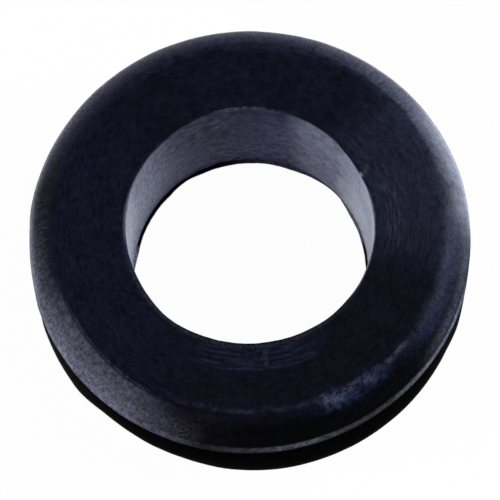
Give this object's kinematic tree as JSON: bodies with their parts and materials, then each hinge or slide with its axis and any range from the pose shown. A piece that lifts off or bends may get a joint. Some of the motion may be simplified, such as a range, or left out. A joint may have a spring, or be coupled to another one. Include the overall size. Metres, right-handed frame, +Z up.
{
  "type": "rubber grommet",
  "caption": "Round rubber grommet: a ring with a flange at each end, a plain bore for a cable or tube, and a groove that snaps into a panel hole.",
  "frame": {"origin": "centre of the lower end face, which is where the ring's axis meets what it rests on", "axes": "+Z up along the bore's axis, from the lower end face to the upper one; the ring is the same all round, so +X and +Y are free"},
  "size_m": [0.0286, 0.0286, 0.0095],
  "materials": {
    "rubber": "matt moulded black rubber with a faint bluish bloom"
  },
  "bodies": {
    "root": {"grommet": "rubber"}
  },
  "joints": []
}
